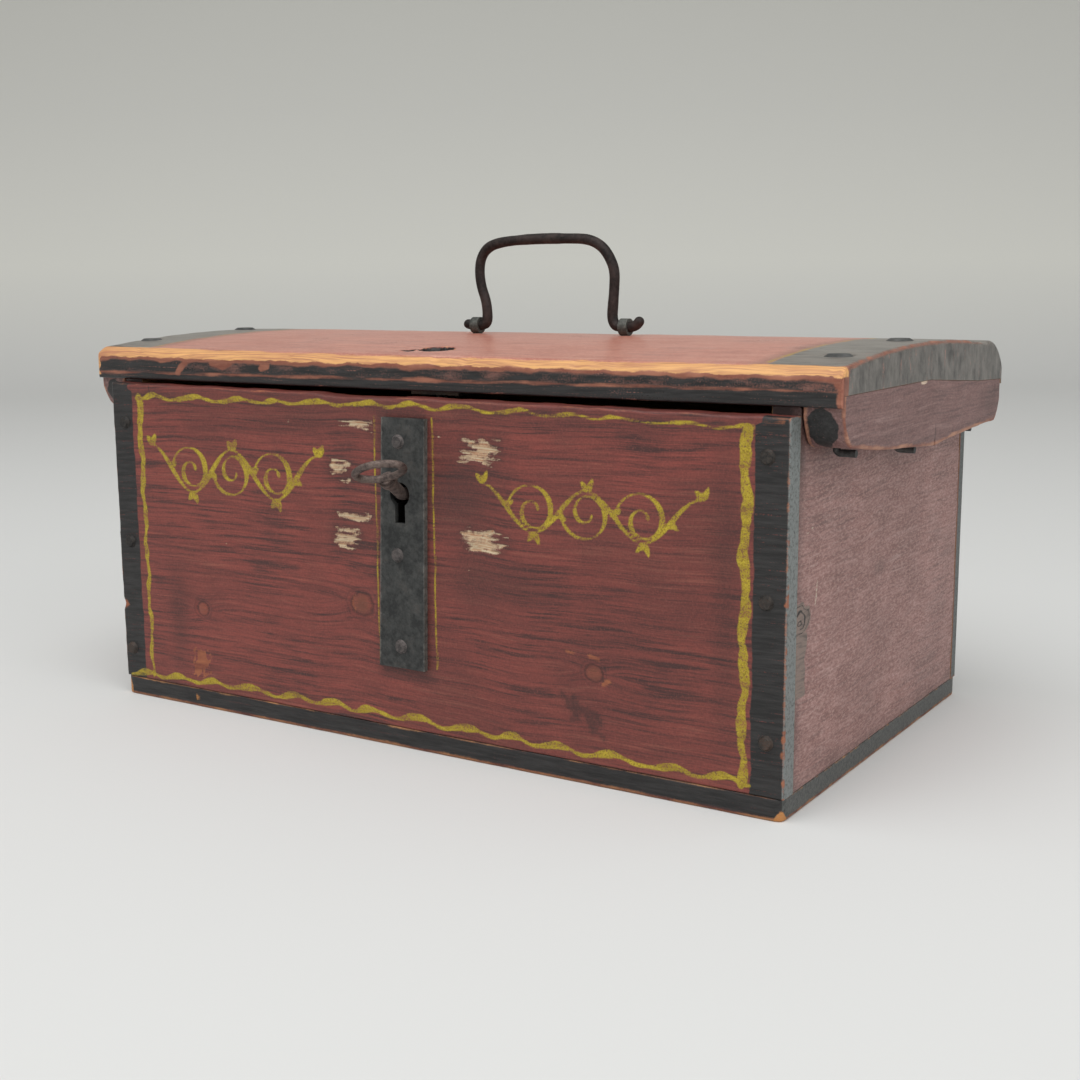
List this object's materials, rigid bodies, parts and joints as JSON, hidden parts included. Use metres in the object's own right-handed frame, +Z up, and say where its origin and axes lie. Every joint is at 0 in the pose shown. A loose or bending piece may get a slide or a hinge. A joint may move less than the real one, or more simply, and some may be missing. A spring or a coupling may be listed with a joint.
{
  "type": "storage chest",
  "caption": "Small painted wooden chest with a hinged crowned lid, hanging end cleats, an iron bail handle, a long lock plate and a turning key.",
  "frame": {"origin": "middle of the underside of the bottom board", "axes": "+X along the box to its right end as seen from the front, +Y from the front to the back, +Z up"},
  "size_m": [0.4378, 0.277, 0.2535],
  "materials": {
    "red_front_paint": "worn oil paint",
    "dull_red_paint": "worn oil paint",
    "lid_paint": "worn oil paint",
    "cleat_paint": "worn oil paint",
    "bare_pine": "bare, darkened",
    "plate_iron": "hand-cut sheet, dark",
    "forged_iron": "forged, dark",
    "handle_iron": "forged, dark brown",
    "key_iron": "worn, pale brown",
    "nail_iron": "forged, dull"
  },
  "bodies": {
    "base": {"bottom_board": "bare_pine", "front_board": "red_front_paint", "back_board": "dull_red_paint", "left_side_board": "dull_red_paint", "right_side_board": "dull_red_paint", "front_nails": "nail_iron", "back_nails": "nail_iron", "bottom_nails": "nail_iron", "lock_plate": "plate_iron", "lock_plate_nails": "nail_iron", "lock_back_plate": "plate_iron", "lock_case": "plate_iron", "lock_case_nails": "nail_iron", "latch_pivot": "forged_iron", "key_post": "forged_iron", "spring_stud": "forged_iron", "latch_spring": "forged_iron", "left_hinge_staple": "forged_iron", "right_hinge_staple": "forged_iron"},
    "lid": {"lid_board": "lid_paint", "left_cleat": "cleat_paint", "right_cleat": "cleat_paint", "lid_nails": "nail_iron", "left_handle_eye": "forged_iron", "right_handle_eye": "forged_iron", "lid_staple": "forged_iron", "staple_plate": "plate_iron", "staple_plate_nails": "nail_iron", "left_hinge_eye": "forged_iron", "right_hinge_eye": "forged_iron"},
    "handle": {"handle": "handle_iron"},
    "key": {"key": "key_iron"},
    "latch": {"latch_hook": "forged_iron"}
  },
  "joints": [
    {"name": "lid_hinge", "type": "hinge", "parent": "base", "child": "lid", "pos_m": [0, 0.1225, 0.175], "axis": [-1, 0, 0], "range_deg": [0, 105]},
    {"name": "handle_swing", "type": "hinge", "parent": "lid", "child": "handle", "pos_m": [0.0095, 0, 0.2045], "axis": [1, 0, 0], "range_deg": [-90, 90]},
    {"name": "key_turn", "type": "hinge", "parent": "base", "child": "key", "pos_m": [0, -0.1, 0.128], "axis": [0, 1, 0], "range_deg": [0, 86]},
    {"name": "latch_swing", "type": "hinge", "parent": "base", "child": "latch", "pos_m": [0.026, -0.1003, 0.124], "axis": [0, 1, 0], "range_deg": [-23.5, 0]}
  ],
  "couplings": [
    {"joint": "latch_swing", "follows": "key_turn", "ratio": -0.27}
  ]
}
